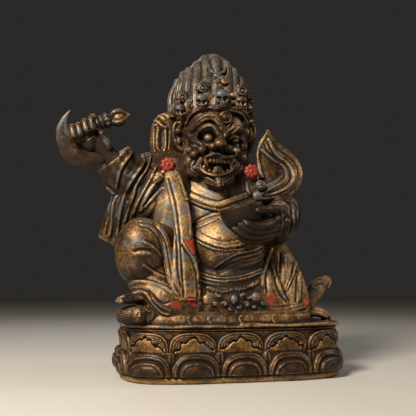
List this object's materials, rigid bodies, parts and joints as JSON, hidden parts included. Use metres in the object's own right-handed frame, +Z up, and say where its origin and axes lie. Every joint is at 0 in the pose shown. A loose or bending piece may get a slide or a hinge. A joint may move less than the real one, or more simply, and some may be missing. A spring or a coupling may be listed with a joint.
{
  "type": "mahakala figure",
  "caption": "Small cast and gilt bronze of a seated wrathful protector with chopper and skull cup, on a prostrate body above an oblong lotus plinth.",
  "frame": {"origin": "middle of the plinth's underside, on the surface it stands on", "axes": "+Z up; the figure faces -Y; +X to the viewer's right, the figure's left"},
  "size_m": [0.1663, 0.0881, 0.1953],
  "materials": {
    "plinth_bronze": "worn gilding over dark brown lacquer, brightest on raised edges",
    "figure_bronze": "worn gilding with black speckle, dark brown lacquer in the recesses, traces of red paint"
  },
  "bodies": {
    "root": {"lotus_plinth": "plinth_bronze", "mahakala_figure": "figure_bronze"}
  },
  "joints": []
}
